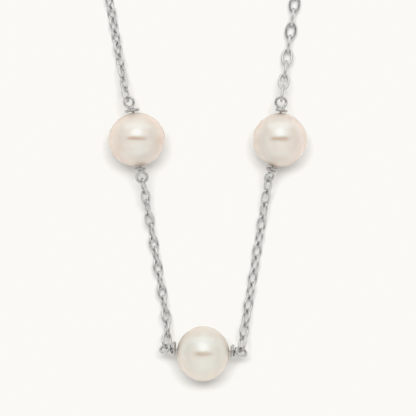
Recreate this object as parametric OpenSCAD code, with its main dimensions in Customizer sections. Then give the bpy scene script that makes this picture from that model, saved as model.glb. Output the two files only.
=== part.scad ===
// Station necklace: three drilled pearls set on wrapped wire loops in a fine cable chain,
// closed by a plain barrel clasp and lying flat on a surface at z = 0.
// The middle pearl is at the -Y end, the clasp at the +Y end.

/* [Pearls] */

// Left pearl, diameter across its drilled hole
left_across = 7.8; // [6.5:0.05:9]
// Left pearl, length along its drilled hole
left_along = 7.35; // [6.5:0.05:9]
// Middle pearl, diameter across its drilled hole
middle_across = 7.55; // [6.5:0.05:9]
// Middle pearl, length along its drilled hole
middle_along = 7.2; // [6.5:0.05:9]
// Right pearl, a true ball
right_size = 7.4; // [6.5:0.05:9]
// Hole drilled through each pearl
drill_d = 0.62; // [0.5:0.01:0.9]
// How far the hole of the middle pearl misses its middle
middle_drill_shift = 0.5; // [0:0.05:0.8]
// How far the hole of the right pearl misses its middle
right_drill_shift = 0.45; // [0:0.05:0.8]

/* [Station wires] */

// Wire that runs through a pearl
pin_d = 0.38; // [0.3:0.01:0.5]
// Wire of the round eyes at its ends
eye_wire_d = 0.42; // [0.35:0.01:0.55]
// Outside diameter of an eye
eye_d = 1.86; // [1.6:0.02:2.2]
// Wire of the single wrap between a pearl and an eye
wrap_wire_d = 0.4; // [0.3:0.01:0.5]
// Outside diameter of the wrap
wrap_d = 1.9; // [1.4:0.02:2]
// Air between a pearl and the wrap
wrap_gap = 0.12; // [0.1:0.01:0.3]

/* [Chain] */

// Wire of a chain link
link_wire_d = 0.4; // [0.3:0.01:0.5]
// Outside length of a link
link_len = 2.78; // [2.4:0.01:3.2]
// Outside width of a link
link_w = 1.7; // [1.5:0.01:2]
// Whole length of the closed necklace
necklace_len = 457; // [400:1:480]

/* [Clasp] */

// Diameter of the barrel
barrel_d = 2.8; // [2.4:0.1:4]
// Length of the barrel
barrel_len = 7; // [5:0.5:9]
// Diameter of the bead line round the middle of the barrel
band_d = 3; // [2.6:0.1:4.2]
// Width of that line
band_w = 0.8; // [0.5:0.1:1.2]

/* [Hidden] */

$fn = 48;

silver = [0.78, 0.79, 0.8];
nacre = [0.93, 0.9, 0.86];

// Stations. Columns: x, y, heading of the hole, sideways shift of the hole to its left,
// size along the hole, size across it.
X = 0; Y = 1; HEADING = 2; SHIFT = 3; ALONG = 4; ACROSS = 5;
left = [-9.05, 29.19, 97.5, 0, left_along, left_across];
middle = [0, 0, -2.2, middle_drill_shift, middle_along, middle_across];
right = [10.47, 29.12, 81.4, right_drill_shift, right_size, right_size];

// Ends of the station wires. Columns: which end of the hole it is on (1 or -1), distance from
// the wrap to the middle of the eye, bend to the left, tilt upward, turn about its own length.
SIDE = 0; REACH = 1; BEND = 2; TILT = 3; TURN = 4;
left_top = [1, 1.24, 17, 0, -25];
left_foot = [-1, 1.24, 2, -6, 0];
right_top = [1, 1.1, 8, 0, 0];
right_foot = [-1, 1.26, -9, -25, -46];
middle_west = [-1, 1.6, 3, -35, 46];
middle_east = [1, 1.45, -5, -25, -45];

eye_r = (eye_d - eye_wire_d) / 2;
wrap_r = (wrap_d - wrap_wire_d) / 2;
// A thin disc inside the wrap joins it to its neck
collar_d = 2 * wrap_r;

// The chain. A link is two half rings joined by two straight bars.
link_end_r = (link_w - link_wire_d) / 2;
link_bar = link_len - link_w;
link_half = (link_len - link_wire_d) / 2;
// An eye and the first link in it are this far apart between the middles of their wires
hook = 0.56;
// A chain comes down from a pearl to the surface over this distance
drop_len = 9;
// The legs above the outer pearls lean out by these angles
left_lean = 10.3;
right_lean = 8;

// Rolls of the links of a stretch, by turns, and the distance from one link to the next.
// Columns: roll of the first, third and so on, roll of the others, pitch.
lower_left_set = [70, -39, 1.68];
lower_right_set = [55, -42, 1.84];
upper_left_set = [54, -50, 1.69];
upper_right_set = [87, 0, 1.83];

// Vector helpers
function aim(az, el) = [cos(el) * cos(az), cos(el) * sin(az), sin(el)];
function left_of(az) = [-sin(az), cos(az), 0];
function above(az, el) = cross(aim(az, el), left_of(az));
function plan(p) = [p[0], p[1]];
function angle_of(v) = atan2(v[1], v[0]);

// A station wire's frame: the middle of its hole, its wraps and its eyes
function axis_z(st) = st[ACROSS] / 2;
function axis_mid(st) = [st[X], st[Y], axis_z(st)] + st[SHIFT] * left_of(st[HEADING]);
function wrap_reach(st) = st[ALONG] / 2 + wrap_gap + wrap_wire_d / 2;
function end_az(st, e) = st[HEADING] + (e[SIDE] > 0 ? 0 : 180) + e[BEND];
function wrap_mid(st, e) = axis_mid(st) + e[SIDE] * wrap_reach(st) * aim(st[HEADING], 0);
function eye_mid(st, e) = wrap_mid(st, e) + e[REACH] * aim(end_az(st, e), e[TILT]);
function eye_side(st, e) = cos(e[TURN]) * left_of(end_az(st, e))
  + sin(e[TURN]) * above(end_az(st, e), e[TILT]);

// The point of an eye's wire that a chain leaving along u pulls on
function pull_point(mid, d, w, u) =
  let (v = (u * d) * d + (u * w) * w)
  mid + eye_r * v / norm(v);
function eye_pull(st, e, u) =
  pull_point(eye_mid(st, e), aim(end_az(st, e), e[TILT]), eye_side(st, e), u);

// Where a stretch with a pitch begins, for a chain leaving an eye along u
function start_at(pull, pitch, u) = pull - (hook + pitch / 2 - link_half) * u;

// Height of the middle of links that rest on the surface
function roll_height(roll) = link_end_r * abs(sin(roll)) + link_wire_d / 2;
function rest_z(set) = max(roll_height(set[0]), roll_height(set[1]));
function fall(z, set) = atan(2 * (z - rest_z(set)) / drop_len);

// Routes in plan: each goes from an eye to an eye
lower_left_knee = [-4.85, 3.8];
lower_left_from = angle_of(lower_left_knee - plan(eye_mid(left, left_foot)));
lower_left_to = angle_of(lower_left_knee - plan(eye_mid(middle, middle_west)));
lower_right_from = angle_of(plan(eye_mid(middle, middle_east)) - plan(eye_mid(right, right_foot)));

function slope_start(st, e, az, set) =
  let (u = aim(az, -fall(eye_mid(st, e)[2], set)))
  start_at(eye_pull(st, e, u), set[2], u);

ll_start = slope_start(left, left_foot, lower_left_from, lower_left_set);
ll_end = slope_start(middle, middle_west, lower_left_to, lower_left_set);
lr_start = slope_start(right, right_foot, lower_right_from, lower_right_set);
lr_end = slope_start(middle, middle_east, lower_right_from + 180, lower_right_set);
ul_start = slope_start(left, left_top, 90 + left_lean, upper_left_set);
ur_start = slope_start(right, right_top, 90 - right_lean, upper_right_set);

// The loop over the top: a circle that both legs run into
spread = (left_lean + right_lean) / 2;
leg_gap = ur_start - ul_start;
// Distances from the meeting point of the two legs, below, to where each leg starts
meet_left = (leg_gap[0] * cos(right_lean) - leg_gap[1] * sin(right_lean)) / sin(2 * spread);
meet_right = (leg_gap[0] * cos(left_lean) + leg_gap[1] * sin(left_lean)) / sin(2 * spread);
meet = plan(ul_start) - meet_left * plan(aim(90 + left_lean, 0));
// What the stations and the lower chains take of the whole length
worn_below = norm(plan(ul_start - ll_start)) + norm(plan(ll_end - ll_start))
  + norm(plan(lr_end - ll_end)) + norm(plan(lr_end - lr_start)) + norm(plan(ur_start - lr_start));
arc_turn = 180 + 2 * spread;
loop_r = (necklace_len - worn_below + meet_left + meet_right)
  / (2 / tan(spread) + arc_turn * PI / 180);
bisector = 90 + (left_lean - right_lean) / 2;
loop_mid = meet + loop_r / sin(spread) * plan(aim(bisector, 0));

// The clasp lies across the top of the loop
clasp_eye_reach = barrel_len / 2 + eye_r - 0.06;
clasp_half = clasp_eye_reach + eye_r;
clasp_turn = asin((clasp_half - hook / 2) / loop_r);
clasp_mid = loop_mid + loop_r * cos(clasp_turn) * plan(aim(bisector, 0));
clasp_z = band_d / 2;
clasp_az = bisector + 90;
// Turns of the clasp's eyes about its length: the left one, the right one
left_eye_turn = 36;
right_eye_turn = 0;
function clasp_eye(side) = [clasp_mid[0], clasp_mid[1], clasp_z]
  + side * clasp_eye_reach * aim(clasp_az, 0);

function clasp_start(side, turn, set) =
  let (u = aim(clasp_az + (side > 0 ? 0 : 180) + side * clasp_turn, -fall(clasp_z, set)),
    w = cos(turn) * left_of(clasp_az) + sin(turn) * [0, 0, 1])
  start_at(pull_point(clasp_eye(side), aim(clasp_az, 0), w, u), set[2], u);

ul_end = clasp_start(1, left_eye_turn, upper_left_set);
ur_end = clasp_start(-1, right_eye_turn, upper_right_set);

function arc_points(from, to, steps) =
  [for (i = [0:steps]) loop_mid + loop_r * plan(aim(from + (to - from) * i / steps, 0))];
left_tangent = bisector + arc_turn / 2;
right_tangent = bisector - arc_turn / 2;

ll_path = [plan(ll_start), lower_left_knee, plan(ll_end)];
lr_path = [plan(lr_start), plan(lr_end)];
ul_path = concat([plan(ul_start)],
  arc_points(left_tangent, angle_of(plan(ul_end) - loop_mid), 48));
ur_path = concat([plan(ur_start)],
  arc_points(right_tangent, angle_of(plan(ur_end) - loop_mid), 48));

// The frame's origin is under the middle of the whole necklace's box
function half_view(roll) = link_end_r * cos(roll) + link_wire_d / 2;
low_x = loop_mid[0] - loop_r - half_view(upper_left_set[1]);
high_x = loop_mid[0] + loop_r + half_view(upper_right_set[1]);
low_y = middle[Y] - middle[ACROSS] / 2;
high_y = clasp_mid[1] + band_d / 2;
home = [-(low_x + high_x) / 2, -(low_y + high_y) / 2, 0];

// Length run up to each point of a list
function run(p) = [for (i = 0, s = 0; i < len(p);
  s = s + (i + 1 < len(p) ? norm(p[i + 1] - p[i]) : 0), i = i + 1) s];
function column(keys, p, c) = [for (i = [0:len(p) - 1]) [keys[i], p[i][c]]];
function last(v) = v[len(v) - 1];

// The route in space: it comes down from both ends to the height at rest
function dip(z, rest, s) = (z - rest) * pow(max(0, 1 - s / drop_len), 2);
function space_route(path, z0, z1, rest, steps) =
  let (s = run(path), tx = column(s, path, 0), ty = column(s, path, 1), whole = last(s))
  [for (i = [0:steps]) let (a = whole * i / steps)
    [lookup(a, tx), lookup(a, ty), rest + dip(z0, rest, a) + dip(z1, rest, whole - a)]];

// The points where one link hooks into the next
function hooks(route, n) =
  let (s = run(route), tx = column(s, route, 0), ty = column(s, route, 1),
    tz = column(s, route, 2))
  [for (k = [0:n]) let (a = last(s) * k / n) [lookup(a, tx), lookup(a, ty), lookup(a, tz)]];

function lower_count(route, set) = round(last(run(route)) / set[2]);
function upper_count(route, set) = 2 * round((last(run(route)) / set[2] - 1) / 2) + 1;

module torus(r, d) {
  rotate_extrude()
    translate([r, 0])
      circle(d = d);
}

module half_ring(start) {
  rotate_extrude(angle = 180, start = start)
    translate([link_end_r, 0])
      circle(d = link_wire_d);
}

module link() {
  translate([link_bar / 2, 0, 0])
    half_ring(-90);
  translate([-link_bar / 2, 0, 0])
    half_ring(90);
  for (y = [-link_end_r, link_end_r])
    translate([-link_bar / 2, y, 0])
      rotate([0, 90, 0])
        cylinder(d = link_wire_d, h = link_bar);
}

// Puts its child at p, its length along the azimuth and rise given, turned about that length
module posed(p, az, el, turn) {
  translate(p)
    rotate([0, 0, az])
      rotate([0, -el, 0])
        rotate([turn, 0, 0])
          children();
}

module stretch(path, z0, z1, set, n) {
  h = hooks(space_route(path, z0, z1, rest_z(set), 600), n);
  for (k = [0:n - 1]) {
    v = h[k + 1] - h[k];
    posed((h[k] + h[k + 1]) / 2, angle_of(v), asin(v[2] / norm(v)), set[k % 2])
      link();
  }
}

// A pearl lies with its hole level. It is a ball pressed a little shorter along the hole.
// The ball is turned so that its seam lies beside the hole.
module pearl(st) {
  color(nacre)
    difference() {
      translate([st[X], st[Y], axis_z(st)])
        rotate([0, 0, st[HEADING]])
          scale([st[ALONG] / st[ACROSS], 1, 1])
            rotate([0, 0, 90])
              sphere(d = st[ACROSS]);
      translate(axis_mid(st))
        rotate([0, 0, st[HEADING]])
          rotate([0, 90, 0])
            cylinder(d = drill_d, h = 2 * st[ACROSS], center = true);
    }
}

module wire_end(st, e) {
  w = wrap_mid(st, e);
  az = end_az(st, e);
  translate(w)
    rotate([0, 0, st[HEADING]])
      rotate([0, 90, 0]) {
        torus(wrap_r, wrap_wire_d);
        cylinder(d = collar_d, h = wrap_wire_d * 0.8, center = true);
      }
  posed(w, az, e[TILT], 0)
    rotate([0, 90, 0])
      cylinder(d = pin_d, h = e[REACH] - eye_r);
  posed(eye_mid(st, e), az, e[TILT], e[TURN])
    torus(eye_r, eye_wire_d);
}

module station_wire(st, e1, e2) {
  color(silver) {
    translate(axis_mid(st))
      rotate([0, 0, st[HEADING]])
        rotate([0, 90, 0])
          cylinder(d = pin_d, h = 2 * wrap_reach(st), center = true);
    wire_end(st, e1);
    wire_end(st, e2);
  }
}

module clasp_body() {
  color(silver)
    translate([clasp_mid[0], clasp_mid[1], clasp_z])
      rotate([0, 0, clasp_az]) {
        rotate([0, 90, 0]) {
          cylinder(d = barrel_d, h = barrel_len, center = true);
          cylinder(d = band_d, h = band_w, center = true);
        }
        posed([clasp_eye_reach, 0, 0], 0, 0, left_eye_turn)
          torus(eye_r, eye_wire_d);
        posed([-clasp_eye_reach, 0, 0], 0, 0, right_eye_turn)
          torus(eye_r, eye_wire_d);
      }
}

module pearl_left() {
  pearl(left);
}

module pearl_middle() {
  pearl(middle);
}

module pearl_right() {
  pearl(right);
}

module wire_left() {
  station_wire(left, left_top, left_foot);
}

module wire_middle() {
  station_wire(middle, middle_west, middle_east);
}

module wire_right() {
  station_wire(right, right_top, right_foot);
}

module chain_lower_left() {
  route = space_route(ll_path, ll_start[2], ll_end[2], rest_z(lower_left_set), 300);
  color(silver)
    stretch(ll_path, ll_start[2], ll_end[2], lower_left_set, lower_count(route, lower_left_set));
}

module chain_lower_right() {
  route = space_route(lr_path, lr_start[2], lr_end[2], rest_z(lower_right_set), 300);
  color(silver)
    stretch(lr_path, lr_start[2], lr_end[2], lower_right_set,
      lower_count(route, lower_right_set));
}

module chain_upper_left() {
  route = space_route(ul_path, ul_start[2], ul_end[2], rest_z(upper_left_set), 600);
  color(silver)
    stretch(ul_path, ul_start[2], ul_end[2], upper_left_set, upper_count(route, upper_left_set));
}

module chain_upper_right() {
  route = space_route(ur_path, ur_start[2], ur_end[2], rest_z(upper_right_set), 600);
  color(silver)
    stretch(ur_path, ur_start[2], ur_end[2], upper_right_set,
      upper_count(route, upper_right_set));
}

module clasp() {
  clasp_body();
}

translate(home) pearl_left();
translate(home) pearl_middle();
translate(home) pearl_right();
translate(home) wire_left();
translate(home) wire_middle();
translate(home) wire_right();
translate(home) chain_lower_left();
translate(home) chain_lower_right();
translate(home) chain_upper_left();
translate(home) chain_upper_right();
translate(home) clasp();
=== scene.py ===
import math
import random

import bpy
import numpy as np
from mathutils import Matrix, Vector, noise


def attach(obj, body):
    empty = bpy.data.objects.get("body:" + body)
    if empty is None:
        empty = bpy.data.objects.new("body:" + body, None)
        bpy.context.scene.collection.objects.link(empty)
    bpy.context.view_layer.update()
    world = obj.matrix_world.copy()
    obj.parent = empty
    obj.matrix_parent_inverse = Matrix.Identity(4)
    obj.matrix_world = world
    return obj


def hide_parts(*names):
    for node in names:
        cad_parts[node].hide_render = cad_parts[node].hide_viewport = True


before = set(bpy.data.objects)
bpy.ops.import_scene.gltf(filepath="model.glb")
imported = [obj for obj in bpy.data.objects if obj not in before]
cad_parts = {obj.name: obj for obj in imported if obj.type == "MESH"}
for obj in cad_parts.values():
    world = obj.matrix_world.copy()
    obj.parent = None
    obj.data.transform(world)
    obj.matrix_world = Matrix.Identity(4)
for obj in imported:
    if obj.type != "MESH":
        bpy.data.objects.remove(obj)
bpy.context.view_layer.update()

# Lengths are in millimetres, as in the part's source, and go to metres at the end. Only the
# board, the lamps' distances and the camera's clipping are given in metres.
MM = 0.001
rng = random.Random(7)


# Vectors on the table: an azimuth and a rise above the surface, both in degrees

def aim(az, rise=0.0):
    a, e = math.radians(az), math.radians(rise)
    return Vector((math.cos(e) * math.cos(a), math.cos(e) * math.sin(a), math.sin(e)))


def left_of(az):
    return Vector((-math.sin(math.radians(az)), math.cos(math.radians(az)), 0))


def angle_of(v):
    return math.degrees(math.atan2(v[1], v[0]))


def turned(az, rise, roll):
    """Length along the azimuth and rise given, rolled about that length."""
    return (Matrix.Rotation(math.radians(az), 3, "Z")
            @ Matrix.Rotation(math.radians(-rise), 3, "Y")
            @ Matrix.Rotation(math.radians(roll), 3, "X"))


# The sizes and places of the part's source

DRILL_D = 0.62
PIN_D = 0.38
EYE_WIRE_D = 0.42
EYE_R = (1.86 - EYE_WIRE_D) / 2
WRAP_WIRE_D = 0.4
WRAP_R = (1.9 - WRAP_WIRE_D) / 2
WRAP_GAP = 0.12
# The eyes' wire as it is drawn, a hair under the solid's
DRAWN_EYE_R = 0.205
# The innermost turn of a wrap's tail, and how far in from the wrap the drawn neck starts
TAIL_R = 0.43
NECK_START = 0.55
# Half the opening of an eye's round, in degrees, the steps it is drawn in, and how high its end
# lifts over the neck, in wires
EYE_OPENING = 22
EYE_STEPS = 48
EYE_LIFT = 0.42
# Where the tail's coil starts, in degrees from the place right over the neck
TAIL_FROM = -52
LINK_WIRE_D = 0.4
LINK_LEN = 2.78
LINK_W = 1.7
LINK_END_R = (LINK_W - LINK_WIRE_D) / 2
LINK_HALF = (LINK_LEN - LINK_WIRE_D) / 2
NECKLACE_LEN = 457
BARREL_D = 2.8
BARREL_LEN = 7
BAND_D = 3
BAND_W = 0.8
# How far the middle of a clasp eye's wire sinks into the barrel's end
EYE_SINK = 0.06
HOOK = 0.56
DROP_LEN = 9
LEFT_LEAN = 10.3
RIGHT_LEAN = 8

# shift is how far the hole misses the pearl's middle, along and across are sizes by the hole
STATIONS = {
    "left": dict(x=-9.05, y=29.19, heading=97.5, shift=0, along=7.35, across=7.8),
    "middle": dict(x=0, y=0, heading=-2.2, shift=0.5, along=7.2, across=7.55),
    "right": dict(x=10.47, y=29.12, heading=81.4, shift=0.45, along=7.4, across=7.4),
}
# side is the end of the hole and reach the way from wrap to eye. In degrees, bend and tilt turn
# the neck off the hole's line, sideways and up, and turn rolls the eye about the neck. wind is the
# way the wire goes round the eye, coils and flare say how its tail wraps the neck.
ENDS = {
    "left_top": dict(at="left", side=1, reach=1.24, bend=17, tilt=0, turn=-25,
                     wind=1, coils=1.3, flare=0.22),
    "left_foot": dict(at="left", side=-1, reach=1.24, bend=2, tilt=-6, turn=0,
                      wind=1, coils=1.2, flare=0.1),
    "right_top": dict(at="right", side=1, reach=1.1, bend=8, tilt=0, turn=0,
                      wind=1, coils=1.25, flare=0.2),
    "right_foot": dict(at="right", side=-1, reach=1.26, bend=-9, tilt=-25, turn=-46,
                       wind=-1, coils=1.3, flare=0.2),
    "middle_west": dict(at="middle", side=-1, reach=1.6, bend=3, tilt=-35, turn=46,
                        wind=1, coils=2.1, flare=0.08),
    "middle_east": dict(at="middle", side=1, reach=1.45, bend=-5, tilt=-25, turn=-45,
                        wind=-1, coils=1.9, flare=0.08),
}
# The rolls of a stretch's links, by turns, and the distance from link to link
LOWER_LEFT = (70, -39, 1.68)
LOWER_RIGHT = (55, -42, 1.84)
UPPER_LEFT = (54, -50, 1.69)
UPPER_RIGHT = (87, 0, 1.83)


def axis_mid(st):
    return Vector((st["x"], st["y"], st["across"] / 2)) + st["shift"] * left_of(st["heading"])


def wrap_reach(st):
    return st["along"] / 2 + WRAP_GAP + WRAP_WIRE_D / 2


def end_frame(end):
    """Where an eye and its wrap are: wrap, eye, way out of the pearl, neck and side of the eye."""
    st = STATIONS[end["at"]]
    out = end["side"] * aim(st["heading"])
    az = st["heading"] + (0 if end["side"] > 0 else 180) + end["bend"]
    neck = aim(az, end["tilt"])
    up = neck.cross(left_of(az))
    turn = math.radians(end["turn"])
    side = math.cos(turn) * left_of(az) + math.sin(turn) * up
    wrap = axis_mid(st) + wrap_reach(st) * out
    return wrap, wrap + end["reach"] * neck, out, neck, side


def pull_point(mid, d, w, u):
    v = u.dot(d) * d + u.dot(w) * w
    return mid + EYE_R * v.normalized()


def start_at(pull, pitch, u):
    return pull - (HOOK + pitch / 2 - LINK_HALF) * u


def rest_z(rolls):
    return max(LINK_END_R * abs(math.sin(math.radians(r))) for r in rolls[:2]) + LINK_WIRE_D / 2


def fall(z, rolls):
    return math.degrees(math.atan(2 * (z - rest_z(rolls)) / DROP_LEN))


def eye_mid(name):
    return end_frame(ENDS[name])[1]


def slope_start(name, az, rolls):
    _, eye, _, neck, side = end_frame(ENDS[name])
    u = aim(az, -fall(eye.z, rolls))
    return start_at(pull_point(eye, neck, side, u), rolls[2], u)


# The lower left chain bends at one place, chosen from the photo
knee = Vector((-4.85, 3.8, 0))
ll_start = slope_start("left_foot", angle_of(knee - eye_mid("left_foot")), LOWER_LEFT)
ll_end = slope_start("middle_west", angle_of(knee - eye_mid("middle_west")), LOWER_LEFT)
down_right = angle_of(eye_mid("middle_east") - eye_mid("right_foot"))
lr_start = slope_start("right_foot", down_right, LOWER_RIGHT)
lr_end = slope_start("middle_east", down_right + 180, LOWER_RIGHT)
ul_start = slope_start("left_top", 90 + LEFT_LEAN, UPPER_LEFT)
ur_start = slope_start("right_top", 90 - RIGHT_LEAN, UPPER_RIGHT)

# The loop over the top is a circle that both upper legs run into
spread = (LEFT_LEAN + RIGHT_LEAN) / 2
gap = ur_start - ul_start
sin_l, cos_l = math.sin(math.radians(LEFT_LEAN)), math.cos(math.radians(LEFT_LEAN))
sin_r, cos_r = math.sin(math.radians(RIGHT_LEAN)), math.cos(math.radians(RIGHT_LEAN))
meet_left = (gap.x * cos_r - gap.y * sin_r) / math.sin(math.radians(2 * spread))
meet_right = (gap.x * cos_l + gap.y * sin_l) / math.sin(math.radians(2 * spread))
meet = ul_start.xy - meet_left * aim(90 + LEFT_LEAN).xy
worn_below = sum((a.xy - b.xy).length for a, b in (
    (ul_start, ll_start), (ll_end, ll_start), (lr_end, ll_end),
    (lr_end, lr_start), (ur_start, lr_start)))
arc_turn = 180 + 2 * spread
loop_r = ((NECKLACE_LEN - worn_below + meet_left + meet_right)
          / (2 / math.tan(math.radians(spread)) + math.radians(arc_turn)))
bisector = 90 + (LEFT_LEAN - RIGHT_LEAN) / 2
loop_mid = meet + loop_r / math.sin(math.radians(spread)) * aim(bisector).xy

clasp_reach = BARREL_LEN / 2 + EYE_R - EYE_SINK
clasp_turn = math.degrees(math.asin((clasp_reach + EYE_R - HOOK / 2) / loop_r))
clasp_xy = loop_mid + loop_r * math.cos(math.radians(clasp_turn)) * aim(bisector).xy
clasp_mid = Vector((clasp_xy.x, clasp_xy.y, BAND_D / 2))
clasp_az = bisector + 90
# How far the eye at each end of the barrel is rolled out of the flat, in degrees
CLASP_TURNS = {1: 36, -1: 0}


def clasp_start(side, rolls):
    u = aim(clasp_az + (0 if side > 0 else 180) + side * clasp_turn, -fall(clasp_mid.z, rolls))
    turn = math.radians(CLASP_TURNS[side])
    w = math.cos(turn) * left_of(clasp_az) + math.sin(turn) * Vector((0, 0, 1))
    eye = clasp_mid + side * clasp_reach * aim(clasp_az)
    return start_at(pull_point(eye, aim(clasp_az), w, u), rolls[2], u)


ul_end = clasp_start(1, UPPER_LEFT)
ur_end = clasp_start(-1, UPPER_RIGHT)


def over_the_top(first, tangent, last):
    to = angle_of(last.xy - loop_mid)
    return [first.xy] + [loop_mid + loop_r * aim(tangent + (to - tangent) * i / 48).xy
                         for i in range(49)]


def half_view(roll):
    return LINK_END_R * math.cos(math.radians(roll)) + LINK_WIRE_D / 2


# The frame's origin is under the middle of the whole necklace's box
low_x = loop_mid.x - loop_r - half_view(UPPER_LEFT[1])
high_x = loop_mid.x + loop_r + half_view(UPPER_RIGHT[1])
low_y = -STATIONS["middle"]["across"] / 2
high_y = clasp_mid.y + BAND_D / 2
home = Vector((-(low_x + high_x) / 2, -(low_y + high_y) / 2, 0))


# Skins: meshes made of rings of points

class Skin:
    """Gathers points and faces, with a place on a map and two marks of painted light for each."""

    def __init__(self):
        self.points, self.faces, self.map, self.grime, self.drilled = [], [], [], [], []

    def rings(self, rings, lengths, widths, grime=None, drilled=None, closed=False):
        """Joins rings of points, each ring closed; closed also joins the last to the first.
        lengths and widths in mm give the map."""
        rings = np.asarray(rings)
        n, m = rings.shape[:2]
        base = len(self.points)
        self.points.extend(map(tuple, rings.reshape(-1, 3)))
        self.grime.extend((np.zeros((n, m)) if grime is None else np.asarray(grime)).ravel())
        self.drilled.extend((np.zeros((n, m)) if drilled is None else np.asarray(drilled)).ravel())
        for i in range(n if closed else n - 1):
            k = (i + 1) % n
            for j in range(m):
                h = (j + 1) % m
                self.faces.append((base + i * m + j, base + i * m + h,
                                   base + k * m + h, base + k * m + j))
                self.map += [(lengths[i], widths[j]), (lengths[i], widths[j + 1]),
                             (lengths[i + 1], widths[j + 1]), (lengths[i + 1], widths[j])]
        return base

    def cap(self, first, m, flip):
        """Closes the ring of m points that begins at the point numbered first."""
        ring = list(range(first, first + m))
        self.faces.append(tuple(reversed(ring)) if flip else tuple(ring))
        self.map += [(0, 0)] * m

    def piece(self, name, material):
        mesh = bpy.data.meshes.new(name)
        moved = [tuple((Vector(p) + home) * MM) for p in self.points]
        mesh.from_pydata(moved, [], self.faces)
        mesh.polygons.foreach_set("use_smooth", [True] * len(mesh.polygons))
        layer = mesh.uv_layers.new(name="along_wire")
        layer.data.foreach_set("uv", np.asarray(self.map, dtype=np.float32).ravel())
        for word, values in (("grime", self.grime), ("drilled", self.drilled)):
            shade = mesh.attributes.new(word, "FLOAT", "POINT")
            shade.data.foreach_set("value", np.asarray(values, dtype=np.float32))
        mesh.materials.append(material)
        mesh.update()
        made = bpy.data.objects.new(name, mesh)
        bpy.context.scene.collection.objects.link(made)
        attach(made, "root")
        return made


def wire(skin, path, radii, sides=12, grime=None):
    """A round wire along a path, with both ends nipped off and slightly rounded."""
    path = np.asarray(path, dtype=float)
    step = np.gradient(path, axis=0)
    step /= np.linalg.norm(step, axis=1)[:, None]
    side = np.cross(step[0], (0.31, 0.17, 0.94))
    side /= np.linalg.norm(side)
    sides_along = []
    for t in step:
        side = side - side.dot(t) * t
        side /= np.linalg.norm(side)
        sides_along.append(side)
    across = np.asarray(sides_along)
    up = np.cross(step, across)
    turns = np.linspace(0, 2 * math.pi, sides, endpoint=False)
    radii = np.asarray(radii, dtype=float)

    def ring(i, r, shift=0.0):
        return (path[i] + shift * step[i]
                + r * (np.outer(np.cos(turns), across[i]) + np.outer(np.sin(turns), up[i])))

    nip = radii[0] * 0.22
    rings = [ring(0, radii[0] - nip, -nip * 0.7)]
    rings += [ring(i, r) for i, r in enumerate(radii)]
    rings.append(ring(-1, radii[-1] - nip, nip * 0.7))
    run = np.concatenate([[0], np.cumsum(np.linalg.norm(np.diff(path, axis=0), axis=1))])
    run = np.concatenate([[-nip], run, [run[-1] + nip]])
    widths = np.linspace(0, 2 * math.pi * radii.mean(), sides + 1)
    shade = None
    if grime is not None:
        shade = np.repeat(np.concatenate([[grime[0]], grime, [grime[-1]]])[:, None], sides, axis=1)
    first = skin.rings(rings, run, widths, shade)
    skin.cap(first, sides, True)
    skin.cap(first + (len(rings) - 1) * sides, sides, False)


def evened(path, spacing=0.05, passes=3):
    """The same path with even steps and its corners eased."""
    path = np.asarray([tuple(p) for p in path])
    run = np.concatenate([[0], np.cumsum(np.linalg.norm(np.diff(path, axis=0), axis=1))])
    steps = np.linspace(0, run[-1], int(run[-1] / spacing) + 2)
    even = np.stack([np.interp(steps, run, path[:, c]) for c in range(3)], axis=1)
    for _ in range(passes):
        even[1:-1] = (even[:-2] + 2 * even[1:-1] + even[2:]) / 4
    return even


# Colours and materials

def linear(code):
    """A colour written as sRGB hex, as the linear values that a shader takes."""
    parts = [int(code[i:i + 2], 16) / 255 for i in (1, 3, 5)]
    return tuple(c / 12.92 if c <= 0.04045 else ((c + 0.055) / 1.055) ** 2.4
                 for c in parts) + (1.0,)


def add(tree, kind, values=None, links=None, stops=None, **options):
    """Adds a node with its options, input values, incoming links and colour stops."""
    made = tree.nodes.new("ShaderNode" + kind)
    for key, value in options.items():
        setattr(made, key, value)
    for key, value in (values or {}).items():
        made.inputs[key].default_value = value
    for key, output in (links or {}).items():
        tree.links.new(output, made.inputs[key])
    if stops:
        ramp = made.color_ramp
        while len(ramp.elements) < len(stops):
            ramp.elements.new(0.5)
        for element, (place, colour) in zip(ramp.elements, stops):
            element.position, element.color = place, colour
    return made


def fresh(name):
    made = bpy.data.materials.new(name)
    made.use_nodes = True
    made.node_tree.nodes.clear()
    return made, made.node_tree


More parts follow.
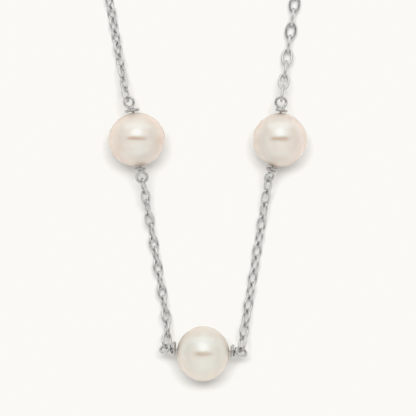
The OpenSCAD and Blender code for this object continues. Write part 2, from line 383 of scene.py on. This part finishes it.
def cultured_nacre(name, low, middle, high, low_gloss, high_gloss):
    """Freshwater pearl nacre, tumbled and buffed: a rosy cream body that light sinks into a
    little, a soft deep gloss with a cool cast, and a painted warm glow round the drilled hole."""
    material, tree = fresh(name)
    place = add(tree, "TexCoord").outputs["Object"]
    # Clouds of overtone 2.6 mm across
    clouds = add(tree, "TexNoise", {"Scale": 1 / (2.6 * MM), "Detail": 2.0, "Roughness": 0.45},
                 {"Vector": place})
    tone = add(tree, "ValToRGB", links={"Fac": clouds.outputs["Fac"]}, stops=[
        (0.32, linear(low)), (0.5, linear(middle)), (0.68, linear(high))])
    # Faint growth patches 0.5 mm across
    patches = add(tree, "TexNoise", {"Scale": 1 / (0.5 * MM), "Detail": 3.0}, {"Vector": place})
    freckle = add(tree, "Mix", {0: 0.1}, {6: tone.outputs["Color"],
                  7: patches.outputs["Color"]}, data_type="RGBA", blend_type="SOFT_LIGHT")
    # The glow round the hole is painted light: a warm tint standing in for light passing through
    # the thin nacre at the mouth, deepest tan inside the bore
    drilled = add(tree, "Attribute", attribute_name="drilled").outputs["Fac"]
    glow = add(tree, "ValToRGB", links={"Fac": drilled}, stops=[
        (0.0, linear("#FFFFFF")), (0.3, linear("#FCEFE0")), (0.62, linear("#F6DCBF")),
        (0.85, linear("#E5C29A")), (1.0, linear("#BBA285"))])
    body = add(tree, "Mix", {0: 1.0}, {6: freckle.outputs[2], 7: glow.outputs["Color"]},
               data_type="RGBA", blend_type="MULTIPLY")
    # Orange-peel of the buffed layers, 0.8 mm from crest to crest
    swell = add(tree, "TexNoise", {"Scale": 1 / (0.8 * MM), "Detail": 2.0}, {"Vector": place})
    bump = add(tree, "Bump", {"Strength": 0.25, "Distance": 0.02 * MM},
               {"Height": swell.outputs["Fac"]})
    gloss = add(tree, "MapRange", {"From Min": 0.3, "From Max": 0.7, "To Min": low_gloss,
                "To Max": high_gloss}, {"Value": clouds.outputs["Fac"]})
    # The mirror of the top layers weakens towards the rim, where the body's own colour shows
    facing = add(tree, "LayerWeight", {"Blend": 0.5}).outputs["Facing"]
    mirror = add(tree, "MapRange", {"From Min": 0.2, "From Max": 0.62, "To Min": 1.0,
                 "To Max": 0.4}, {"Value": facing})
    # Nacre's own index is about 1.6, but its stacked layers mirror more than one surface does, here
    # as much as one of 2.44
    shader = add(tree, "BsdfPrincipled", {
        "IOR": 2.44,
        "Specular Tint": linear("#D2F3FF"),
        "Subsurface Weight": 1.0, "Subsurface Radius": (1.0, 0.9, 0.85),
        "Subsurface Scale": 10 * MM},
        {"Base Color": body.outputs[2], "Roughness": gloss.outputs["Result"],
         "Specular IOR Level": mirror.outputs["Result"], "Normal": bump.outputs["Normal"]})
    add(tree, "OutputMaterial", links={"Surface": shader.outputs["BSDF"]})
    return material


def rhodium_plate(name, tone, low_gloss, high_gloss):
    """Sterling silver under a rhodium plate, drawn and tumble-polished: a cool grey mirror with
    faint die lines along the wire, softer spots from wear, and painted shade darkening the
    crevices."""
    material, tree = fresh(name)
    lay = add(tree, "UVMap", uv_map="along_wire").outputs["UV"]
    place = add(tree, "TexCoord").outputs["Object"]
    # Die lines run along the wire. The real ones are finer than 0.02 mm; these are 0.08 mm
    # apart so that they show.
    stretch = add(tree, "Mapping", {"Scale": (0.35, 1 / 0.08, 1.0)}, {"Vector": lay})
    lines = add(tree, "TexNoise", {"Scale": 1.0, "Detail": 2.0},
                {"Vector": stretch.outputs["Vector"]})
    # Handling marks 0.3 mm across
    marks = add(tree, "TexNoise", {"Scale": 1 / (0.3 * MM), "Detail": 4.0, "Roughness": 0.6},
                {"Vector": place})
    # This mark is painted shade in the crevices and joints: it darkens the silver towards #3E3D3C
    # and also roughens it
    grime = add(tree, "Attribute", attribute_name="grime").outputs["Fac"]
    worn = add(tree, "MapRange", {"From Min": 0.35, "From Max": 0.75, "To Min": low_gloss,
               "To Max": high_gloss}, {"Value": marks.outputs["Fac"]})
    rough = add(tree, "Math", links={0: worn.outputs["Result"], 1: grime}, operation="MAXIMUM")
    # Wear shows as a slightly whiter silver between the plate
    plate = add(tree, "ValToRGB", links={"Fac": marks.outputs["Fac"]}, stops=[
        (0.35, linear(tone)), (0.75, linear("#D9D8D6"))])
    colour = add(tree, "Mix", links={0: grime, 6: plate.outputs["Color"]}, values={
        7: linear("#3E3D3C")}, data_type="RGBA")
    bump = add(tree, "Bump", {"Strength": 0.3, "Distance": 0.01 * MM},
               {"Height": lines.outputs["Fac"]})
    dents = add(tree, "Bump", {"Strength": 0.35, "Distance": 0.02 * MM},
                {"Height": marks.outputs["Fac"], "Normal": bump.outputs["Normal"]})
    shader = add(tree, "BsdfPrincipled", {"Metallic": 1.0}, {
        "Base Color": colour.outputs[2], "Roughness": rough.outputs["Value"],
        "Normal": dents.outputs["Normal"]})
    add(tree, "OutputMaterial", links={"Surface": shader.outputs["BSDF"]})
    return material


def white_board():
    """Matt white board: even and chalky, with a barely seen tooth."""
    material, tree = fresh("matt_white_board")
    place = add(tree, "TexCoord").outputs["Object"]
    # Board tooth 0.6 mm from grain to grain
    tooth = add(tree, "TexNoise", {"Scale": 1 / (0.6 * MM), "Detail": 2.0}, {"Vector": place})
    tint = add(tree, "ValToRGB", links={"Fac": tooth.outputs["Fac"]}, stops=[
        (0.3, linear("#F5F5F5")), (0.7, linear("#F7F7F7"))])
    shader = add(tree, "BsdfPrincipled", {"Roughness": 0.95, "Specular IOR Level": 0.1},
                 {"Base Color": tint.outputs["Color"]})
    add(tree, "OutputMaterial", links={"Surface": shader.outputs["BSDF"]})
    return material


rosy_nacre = cultured_nacre("rosy_cultured_nacre", "#E5C6B6", "#E5C9BA", "#E5CBBE", 0.1, 0.14)
cream_nacre = cultured_nacre("cream_cultured_nacre", "#E2CABA", "#E2CCBD", "#E2CEC0", 0.18, 0.22)
bent_wire = rhodium_plate("rhodium_plated_bent_wire", "#C6C7C9", 0.14, 0.24)
chain_wire = rhodium_plate("rhodium_plated_chain_wire", "#CFD0D2", 0.2, 0.3)
turned_barrel = rhodium_plate("rhodium_plated_turned_barrel", "#BEBFC1", 0.14, 0.26)


# Pearls

# How far each pearl's surface leans to the photo's foot right above its middle, as a slope. It
# moves the gloss up or down by a few degrees.
PEARL_LEAN = {"left": 0.0, "middle": -0.045, "right": 0.015}
# The painted warm glow of the drilled hole falls to a third this far from its mouth
GLOW_REACH = 0.38
# Depths of the broad swells, 3.3 mm across, and of the dimples, 0.8 mm across
SWELL_DEPTH = 0.035
DIMPLE_DEPTH = 0.02


def pearl(name):
    """A drilled pearl. Its rings of points are seen from the middle of the hole, so that they
    close up round both of its mouths."""
    st = STATIONS[name]
    half, ball = st["along"] / 2, st["across"] / 2
    bore = DRILL_D / 2
    around = 128
    phi = np.linspace(0, 2 * math.pi, around, endpoint=False)
    eye = np.array((0.0, st["shift"], 0.0))
    unit = np.array((1 / half, 1 / ball, 1 / ball))

    def shell(theta):
        """Where rays at theta from the hole meet the pearl, one for each phi."""
        ray = np.stack([-np.cos(theta), np.sin(theta) * np.cos(phi),
                        np.sin(theta) * np.sin(phi)], axis=1)
        a = ((ray * unit) ** 2).sum(1)
        b = (ray * unit * eye * unit).sum(1)
        c = ((eye * unit) ** 2).sum() - 1
        return eye + ray * ((-b + np.sqrt(b * b - a * c)) / a)[:, None]

    def mouth(sign, r):
        y, z = eye[1] + r * np.cos(phi), r * np.sin(phi)
        x = half * np.sqrt(1 - (y * y + z * z) / ball ** 2)
        return np.stack([sign * x, y, z], axis=1)

    lip = 0.05
    rings, drilled = [], []
    inner = mouth(-1, bore)
    # Inside the bore the painted glow is at its fullest, the darkest tan of its colours
    for depth, shade in ((half * 0.95, 1.0), (1.2, 1.0), (0.3, 0.97), (lip, 0.92)):
        ring = inner.copy()
        ring[:, 0] += depth
        rings.append(ring)
        drilled.append(np.full(around, shade))
    turned_edge = inner.copy()
    turned_edge[:, 0] += lip * 0.3
    turned_edge[:, 1:] += (turned_edge[:, 1:] - eye[1:]) * (0.3 * lip / bore)
    rings.append(turned_edge)
    drilled.append(np.full(around, 0.88))
    rim = mouth(-1, bore + lip)
    far_rim = mouth(1, bore + lip)
    start = np.arctan2(bore + lip, -rim[:, 0])
    stop = math.pi - np.arctan2(bore + lip, far_rim[:, 0])
    count = 110
    for i in range(count + 1):
        t = i / count
        # Closer together near both mouths
        t = t - 0.13 * math.sin(2 * math.pi * t) / 2
        theta = start + (stop - start) * t
        ring = shell(theta)
        away = np.hypot(ring[:, 1] - eye[1], ring[:, 2]) - bore
        drilled.append(0.86 * np.exp(-(away / GLOW_REACH) ** 1.4))
        rings.append(ring)
    # The far mouth is the near one turned over
    far = mouth(1, bore)
    for ring, shade in zip(rings[4::-1], drilled[4::-1]):
        mirrored = ring.copy()
        mirrored[:, 0] = far[:, 0] - (ring[:, 0] - inner[:, 0])
        rings.append(mirrored)
        drilled.append(shade)

    # Growth leaves the ball a touch uneven, and only ever takes away
    seed = Vector((st["x"], st["y"], 0))
    uneven = []
    for ring in rings:
        moved = []
        for p in ring:
            v = Vector(p)
            off = math.hypot(v.y - eye[1], v.z) - bore
            ease = min(1.0, max(0.0, (off - 0.15) / 0.6))
            low = 0.5 + 0.5 * noise.noise(v * 0.3 + seed)
            dimple = max(0.0, noise.noise(v * 1.3 + seed * 2) - 0.25)
            # None at the very bottom, where it rests
            rest = min(1.0, max(0.0, (v.z / ball + 1) / 0.12))
            loss = ease * rest * (SWELL_DEPTH * low + DIMPLE_DEPTH * dimple)
            moved.append(v * (1 - loss / v.length))
        uneven.append(moved)
    place = turned(st["heading"], 0, 0)
    at = Vector((st["x"], st["y"], ball))
    rings = [[place @ v for v in ring] for ring in uneven]
    for ring in rings:
        for v in ring:
            v *= 1 + PEARL_LEAN[name] * v.y * max(0.0, v.z) / v.length_squared
    rings = [[v + at for v in ring] for ring in rings]
    lengths = np.linspace(0, math.pi * ball, len(rings) + 1)
    widths = np.linspace(0, 2 * math.pi * ball, around + 1)
    skin = Skin()
    skin.rings(rings, lengths, widths, drilled=drilled, closed=True)
    nacre = cream_nacre if name == "middle" else rosy_nacre
    made = skin.piece("pearl_" + name + "_nacre", nacre)
    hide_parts("pearl_" + name)


# Station wires

def loop_path(end):
    """From the pearl outward: the neck, once round the eye, and the tail wrapped back down."""
    wrap, eye, out, neck, side = end_frame(end)
    over = neck.cross(side) * end["wind"]
    side = side * end["wind"]
    if over.z < 0:
        over = -over
    points = [wrap - NECK_START * out, wrap - 0.25 * out, wrap]
    top = end["reach"] - EYE_R
    points += [wrap + (top - 0.1) * t * neck for t in (0.35, 0.7, 1.0)]
    # The eye opens at its neck, and the last quarter of its round lifts to pass over it
    for i in range(EYE_STEPS + 1):
        phi = math.radians(EYE_OPENING + (360 - 2 * EYE_OPENING) * i / EYE_STEPS)
        lift = max(0.0, (i - 0.75 * EYE_STEPS) / (0.25 * EYE_STEPS))
        lift = lift * lift * (3 - 2 * lift)
        points.append(eye + EYE_R * (-math.cos(phi) * neck + math.sin(phi) * side)
                      + EYE_LIFT * WRAP_WIRE_D * lift * over)
    # The tail goes over the neck and round it towards the pearl in a widening coil, which turns
    # square to the hole on its way
    square_over = (over - over.dot(out) * out).normalized()
    square_side = out.cross(square_over)
    if square_side.dot(side) < 0:
        square_side = -square_side
    turns = end["coils"]
    steps = int(48 * turns)
    for i in range(1, steps + 1):
        t = i / steps
        a = math.radians(TAIL_FROM + 360 * turns * t)
        r = TAIL_R + (WRAP_R - TAIL_R) * min(1.0, t * 1.8)
        r += end["flare"] * max(0.0, (t - 0.8) / 0.2) ** 2
        height = (top - 0.16) * max(0.0, 1 - 1.5 * t)
        square = min(1.0, 1.5 * t)
        points.append(wrap + height * neck + r * (math.cos(a) * over.lerp(square_over, square)
                                                  + math.sin(a) * side.lerp(square_side, square)))
    return points


def station_wire(name, first, second):
    one = evened(loop_path(ENDS[first]))
    two = evened(loop_path(ENDS[second]))
    path = np.concatenate([one[::-1], two])
    path = evened(path, 0.05, 2)
    st = STATIONS[name]
    mid = np.asarray(axis_mid(st))
    away = np.linalg.norm(path - mid, axis=1)
    reach = wrap_reach(st)
    # Thinner in the hole, and a full wire from 0.6 mm past the wrap
    blend = np.clip((away - reach) / 0.6, 0, 1)
    radii = PIN_D / 2 + (DRAWN_EYE_R - PIN_D / 2) * blend
    # Painted shade darkens the wire where the wrap closes on the neck
    grime = 0.2 * np.exp(-((away - reach) / 0.28) ** 2)
    skin = Skin()
    wire(skin, path, radii, 12, grime)
    made = skin.piece("wire_" + name + "_loops", bent_wire)
    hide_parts("wire_" + name)


# Chain

def space_route(path, z0, z1, rest, steps=600):
    path = np.asarray([tuple(p)[:2] for p in path])
    run = np.concatenate([[0], np.cumsum(np.linalg.norm(np.diff(path, axis=0), axis=1))])
    a = np.linspace(0, run[-1], steps + 1)

    def dip(z, s):
        return (z - rest) * np.maximum(0, 1 - s / DROP_LEN) ** 2

    return np.stack([np.interp(a, run, path[:, 0]), np.interp(a, run, path[:, 1]),
                     rest + dip(z0, a) + dip(z1, run[-1] - a)], axis=1)


def chain(name, path, z0, z1, rolls, odd):
    """Loose links, each a drawn wire bent to an oval with bowed sides and soldered shut."""
    route = space_route(path, z0, z1, rest_z(rolls))
    run = np.concatenate([[0], np.cumsum(np.linalg.norm(np.diff(route, axis=0), axis=1))])
    count = run[-1] / rolls[2]
    count = 2 * round((count - 1) / 2) + 1 if odd else round(count)
    at = np.linspace(0, run[-1], count + 1)
    hooks = np.stack([np.interp(at, run, route[:, c]) for c in range(3)], axis=1)
    skin = Skin()
    around, sides = 44, 10
    t = np.linspace(0, 2 * math.pi, around, endpoint=False)
    turns = np.linspace(0, 2 * math.pi, sides, endpoint=False)
    for k in range(count):
        v = Vector(hooks[k + 1] - hooks[k])
        mid = Vector((hooks[k] + hooks[k + 1]) / 2)
        pose = np.asarray(turned(angle_of(v), math.degrees(math.asin(v.z / v.length)),
                                 rolls[k % 2] + rng.uniform(-1.0, 1.0)))
        # A bow of 2 would be an ellipse; less draws the sides in to the ends
        bow = 1.9 + rng.uniform(-0.04, 0.04)
        wide = LINK_END_R * (1 - rng.uniform(0, 0.02))
        cx = LINK_HALF * np.sign(np.cos(t)) * np.abs(np.cos(t)) ** (2 / bow)
        cy = wide * np.sign(np.sin(t)) * np.abs(np.sin(t)) ** (2 / bow)
        centre = np.stack([cx, cy, np.zeros(around)], axis=1)
        step = np.roll(centre, -1, axis=0) - np.roll(centre, 1, axis=0)
        step /= np.linalg.norm(step, axis=1)[:, None]
        outward = np.stack([step[:, 1], -step[:, 0], np.zeros(around)], axis=1)
        # The soldered joint is a slight swelling on one side
        seam = math.pi / 2 if rng.random() < 0.5 else 3 * math.pi / 2
        swell = 1 + 0.03 * np.exp(-((t - seam) / 0.16) ** 2)
        r = LINK_WIRE_D / 2 * swell
        rings = (centre[:, None, :]
                 + r[:, None, None] * (np.cos(turns)[None, :, None] * outward[:, None, :]
                                       + np.sin(turns)[None, :, None] * np.array((0, 0, 1.0))))
        # Painted shade on the inside of both ends, where the next link bears
        ends = np.clip((np.abs(cx) / LINK_HALF - 0.88) / 0.1, 0, 1)
        inside = np.clip(-np.cos(turns) + 0.2, 0, 1)
        grime = 0.85 * ends[:, None] * inside[None, :]
        run_round = np.concatenate([[0], np.cumsum(np.linalg.norm(
            np.diff(np.vstack([centre, centre[:1]]), axis=0), axis=1))])
        widths = np.linspace(0, math.pi * LINK_WIRE_D, sides + 1)
        rings = rings @ pose.T + np.asarray(mid)
        # Each link starts further along the drawn wire, so that no two have the same die lines
        skin.rings(rings[:, ::-1], run_round + 3.7 * k, widths, grime[:, ::-1], closed=True)
    made = skin.piece(name + "_links", chain_wire)
    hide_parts(name)


# Clasp

def clasp():
    """A barrel clasp: rounded shoulders, a seam on each side of a beaded line, two eyes."""
    skin = Skin()
    place = turned(clasp_az, 0, 0)
    half, r = BARREL_LEN / 2, BARREL_D / 2
    profile = [(-half, 0.02), (-half, 0.3), (-half + 0.02, 0.55), (-half + 0.08, 0.62),
               (-half + 0.1, 0.8), (-half + 0.12, 1.0)]
    profile += [(-half + 0.12 + 0.38 * (1 - math.cos(a)), 1.0 + (r - 1.0) * math.sin(a))
                for a in np.linspace(0.15, math.pi / 2, 9)]
    profile += [(-1.6, r), (-1.52, r), (-1.49, r - 0.06), (-1.43, r - 0.06), (-1.4, r),
                (-1.32, r), (-0.5, r), (-0.46, r), (-0.43, r - 0.03), (-BAND_W / 2, r - 0.02),
                (-0.3, r - 0.02), (0, r - 0.02)]
    profile += [(-x, y) for x, y in reversed(profile[:-1])]
    turns = np.linspace(0, 2 * math.pi, 64, endpoint=False)
    rings = [[place @ Vector((x, y * math.cos(a), y * math.sin(a))) + clasp_mid for a in turns]
             for x, y in profile]
    lengths = np.cumsum([0] + [math.dist(a, b) for a, b in zip(profile, profile[1:])])
    # Painted shade in the grooves of the two seams and at the edges of the beaded band
    groove = np.array([0.5 if 1.4 < abs(x) < 1.5 or abs(abs(x) - 0.43) < 0.04 else 0.0
                       for x, y in profile])
    shade = np.repeat(groove[:, None], 64, axis=1)
    first = skin.rings(rings, lengths, np.linspace(0, 2 * math.pi * r, 65), shade)
    skin.cap(first, 64, True)
    skin.cap(first + (len(rings) - 1) * 64, 64, False)
    # The beaded line: 26 beads set halfway into the barrel
    bead = 0.17
    for k in range(26):
        a = 2 * math.pi * k / 26
        mid = Vector((0, (BAND_D / 2 - bead) * math.cos(a), (BAND_D / 2 - bead) * math.sin(a)))
        levels = np.linspace(0.12, math.pi - 0.12, 9)
        rings = [[place @ (mid + Vector((-2.1 * bead * math.cos(u),
                                         bead * math.sin(u) * math.cos(w),
                                         bead * math.sin(u) * math.sin(w)))) + clasp_mid
                  for w in np.linspace(0, 2 * math.pi, 12, endpoint=False)] for u in levels]
        first = skin.rings(rings, np.linspace(0, 0.7, 9), np.linspace(0, 1, 13))
        skin.cap(first, 12, True)
        skin.cap(first + 8 * 12, 12, False)
    for side in (1, -1):
        eye = Vector((side * clasp_reach, 0, 0))
        tilt = turned(0, 0, CLASP_TURNS[side])
        count, sides = 64, 12
        rings = []
        for a in np.linspace(0, 2 * math.pi, count, endpoint=False):
            way = Vector((math.cos(a), math.sin(a), 0))
            rings.append([place @ (eye + tilt @ ((EYE_R + EYE_WIRE_D / 2 * math.cos(w)) * way
                                                 + Vector((0, 0, EYE_WIRE_D / 2 * math.sin(w)))))
                          + clasp_mid
                          for w in np.linspace(0, 2 * math.pi, sides, endpoint=False)])
        # Painted shade on the side of each eye that meets the barrel's end
        near = np.array([max(0.0, -side * math.cos(a) - 0.75) * 2
                         for a in np.linspace(0, 2 * math.pi, count, endpoint=False)])
        skin.rings(rings, np.linspace(0, 2 * math.pi * EYE_R, count + 1),
                   np.linspace(0, math.pi * EYE_WIRE_D, sides + 1),
                   np.repeat(near[:, None], sides, axis=1), closed=True)
    made = skin.piece("clasp_barrel", turned_barrel)
    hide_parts("clasp")


for name in STATIONS:
    pearl(name)
station_wire("left", "left_foot", "left_top")
station_wire("middle", "middle_west", "middle_east")
station_wire("right", "right_foot", "right_top")
chain("chain_lower_left", [ll_start, knee, ll_end], ll_start.z, ll_end.z, LOWER_LEFT, False)
chain("chain_lower_right", [lr_start, lr_end], lr_start.z, lr_end.z, LOWER_RIGHT, False)
chain("chain_upper_left", over_the_top(ul_start, bisector + arc_turn / 2, ul_end),
      ul_start.z, ul_end.z, UPPER_LEFT, True)
chain("chain_upper_right", over_the_top(ur_start, bisector - arc_turn / 2, ur_end),
      ur_start.z, ur_end.z, UPPER_RIGHT, True)
clasp()

# The photograph's frame: its side in pixels, what one pixel is in millimetres, and the pixel that
# the middle pearl's middle has in it
PHOTO_SIDE = 416
PIXEL = 0.1364
MIDDLE_PEARL_PX = (203.05, 353.5)
look_at = Vector(((PHOTO_SIDE / 2 - MIDDLE_PEARL_PX[0]) * PIXEL,
                  (MIDDLE_PEARL_PX[1] - PHOTO_SIDE / 2) * PIXEL, 0)) + home

# A white board to lie on, 8 metres wide
board = bpy.data.meshes.new("board")
board.from_pydata([(-4, -4, 0), (4, -4, 0), (4, 4, 0), (-4, 4, 0)], [], [(0, 1, 2, 3)])
board.materials.append(white_board())
board = bpy.data.objects.new("board", board)
bpy.context.scene.collection.objects.link(board)


def softbox(name, nearest, farthest, spread, radiance, toward=0, away=1.0, fade=0, matt=True,
            gloss=True):
    """A lamp that fills the sky from nearest to farthest degrees off overhead and spread degrees
    to both sides. toward is the way it stands off, in degrees clockwise from the photo's top, and
    away its distance in metres. With fade it dims evenly from its middle to nothing that many
    degrees off it. matt and gloss say whether it lights the surfaces and whether they mirror
    it."""
    lean = math.radians((nearest + farthest) / 2)
    tall = 2 * away * math.tan(math.radians((farthest - nearest) / 2))
    wide = 2 * away * math.tan(math.radians(spread))
    lamp = bpy.data.lights.new(name, "AREA")
    lamp.shape = "RECTANGLE"
    lamp.size, lamp.size_y = wide, tall
    lamp.energy = math.pi * wide * tall * radiance
    if fade:
        edge = math.radians(fade)
        lamp.spread = 2 * edge
        lamp.energy *= 1 - edge / math.tan(edge)
    made = bpy.data.objects.new(name, lamp)
    way = aim(90 - toward, 90 - math.degrees(lean))
    made.location = look_at * MM + away * way
    made.rotation_euler = (-lean, 0, -math.radians(toward))
    made.visible_camera = False
    made.visible_diffuse = matt
    made.visible_glossy = gloss
    bpy.context.scene.collection.objects.link(made)


# The softboxes light the surfaces: the first two throw the shadows and the third lifts the side
# towards the photo's foot. The cards are only there for the pearls and the wire to mirror.
softbox("softbox_near", 7, 18, 20, 12.8, gloss=False)
softbox("softbox_top", 18, 30, 20, 2.5, gloss=False)
softbox("softbox_foot", 60, 84, 45, 0.35, 180, gloss=False)
softbox("card_far", 58, 86, 45, 0.7, matt=False)
softbox("card_top", 15, 57, 60, 1.12, away=2.0, fade=46, matt=False)
softbox("card_core", 20, 48, 14, 0.2, away=2.0, matt=False)
softbox("card_foot", 5, 64, 58, 0.42, 180, away=2.0, fade=60, matt=False)
softbox("card_low", 56, 86, 50, 0.34, 180, matt=False)
softbox("card_east", 44, 84, 34, 0.16, 90, matt=False)
softbox("card_west", 44, 84, 34, 0.16, -90, matt=False)

# The room: an even pale tent, with a dark slot overhead for the camera
world = bpy.data.worlds.new("studio")
world.use_nodes = True
bpy.context.scene.world = world
room = world.node_tree
room.nodes.clear()
toward = add(room, "TexCoord").outputs["Generated"]
part = add(room, "SeparateXYZ", links={0: toward})
slot = None
# How much of its reach the slot's edge fades over, inwards and outwards
EDGE_FADE = 0.15
# Degrees that the slot reaches to both sides, and that its middle is off overhead
for axis, reach, off in (("X", 35, 0), ("Y", 7, -3)):
    lean = add(room, "Math", links={0: part.outputs[axis], 1: part.outputs["Z"]},
               operation="DIVIDE")
    lean = add(room, "Math", {1: math.tan(math.radians(off))}, {0: lean.outputs["Value"]},
               operation="ADD")
    size = add(room, "Math", links={0: lean.outputs["Value"]}, operation="ABSOLUTE")
    edge = math.tan(math.radians(reach))
    inside = add(room, "MapRange", {"From Min": edge * (1 + EDGE_FADE),
                 "From Max": edge * (1 - EDGE_FADE), "To Min": 0.0, "To Max": 1.0},
                 {"Value": size.outputs["Value"]})
    slot = inside if slot is None else add(
        room, "Math", links={0: slot.outputs[0], 1: inside.outputs[0]}, operation="MULTIPLY")
overhead = add(room, "Math", {1: 0.0}, {0: part.outputs["Z"]}, operation="GREATER_THAN")
slot = add(room, "Math", links={0: slot.outputs[0], 1: overhead.outputs[0]},
           operation="MULTIPLY")
shade = add(room, "ValToRGB", links={"Fac": slot.outputs[0]}, stops=[
    (0.0, linear("#CACACA")), (1.0, linear("#272727"))])
back = add(room, "Background", {"Strength": 1.0}, {"Color": shade.outputs["Color"]})
add(room, "OutputWorld", links={"Surface": back.outputs["Background"]})

# The camera looks straight down, and the photo's frame fills its view at the height of the
# pearls' middles
CAMERA_HEIGHT = 600
PEARL_MIDDLE = 3.8
camera = bpy.data.cameras.new("camera")
camera.sensor_width = 36
camera.lens = camera.sensor_width * (CAMERA_HEIGHT - PEARL_MIDDLE) / (PHOTO_SIDE * PIXEL)
camera.clip_start, camera.clip_end = 0.05, 20
camera = bpy.data.objects.new("camera", camera)
camera.location = (look_at + Vector((0, 0, CAMERA_HEIGHT))) * MM
bpy.context.scene.collection.objects.link(camera)
bpy.context.scene.camera = camera
# The photo's whites burn out to its page's warm white
tone = bpy.context.scene.view_settings
tone.view_transform = "Standard"
tone.look = "None"
tone.use_curve_mapping = True
tone.curve_mapping.extend = "HORIZONTAL"
for curve, white in zip(tone.curve_mapping.curves, linear("#FAF9F5")[:3]):
    curve.points[-1].location = (1.0, white)
tone.curve_mapping.update()
